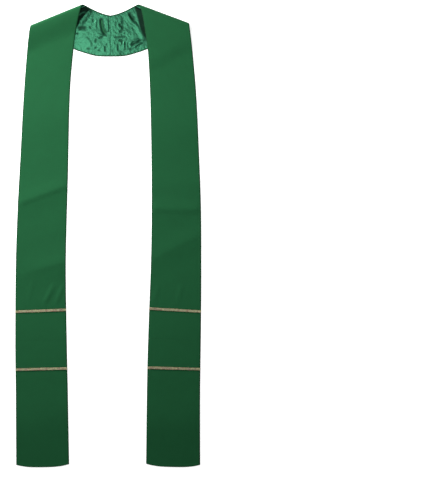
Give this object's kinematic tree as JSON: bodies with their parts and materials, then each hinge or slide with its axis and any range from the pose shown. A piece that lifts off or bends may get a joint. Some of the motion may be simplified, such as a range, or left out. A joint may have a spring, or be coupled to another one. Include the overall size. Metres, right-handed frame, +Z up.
{
  "type": "clerical stole",
  "caption": "Long lined cloth stole laid flat, face up, its curved yoke folded under two straight fronts, with narrow braid across each front and a braid cross on the yoke.",
  "frame": {"origin": "middle of the stole's outline, on the surface it lies on", "axes": "+Y from the hems to the neck, +X to the right of someone looking down on the fronts, +Z up out of the surface"},
  "size_m": [0.5022, 1.2494, 0.0164],
  "materials": {
    "face_cloth": "matte green plain-woven cloth",
    "lining_satin": "shiny green satin",
    "gold_braid": "pale metallic gold woven braid"
  },
  "bodies": {
    "root": {"face_left": "face_cloth", "face_right": "face_cloth", "lining_left": "lining_satin", "lining_right": "lining_satin", "upper_braid_left": "gold_braid", "lower_braid_left": "gold_braid", "upper_braid_right": "gold_braid", "lower_braid_right": "gold_braid", "cross_upright": "gold_braid", "cross_arm_left": "gold_braid", "cross_arm_right": "gold_braid"}
  },
  "joints": []
}
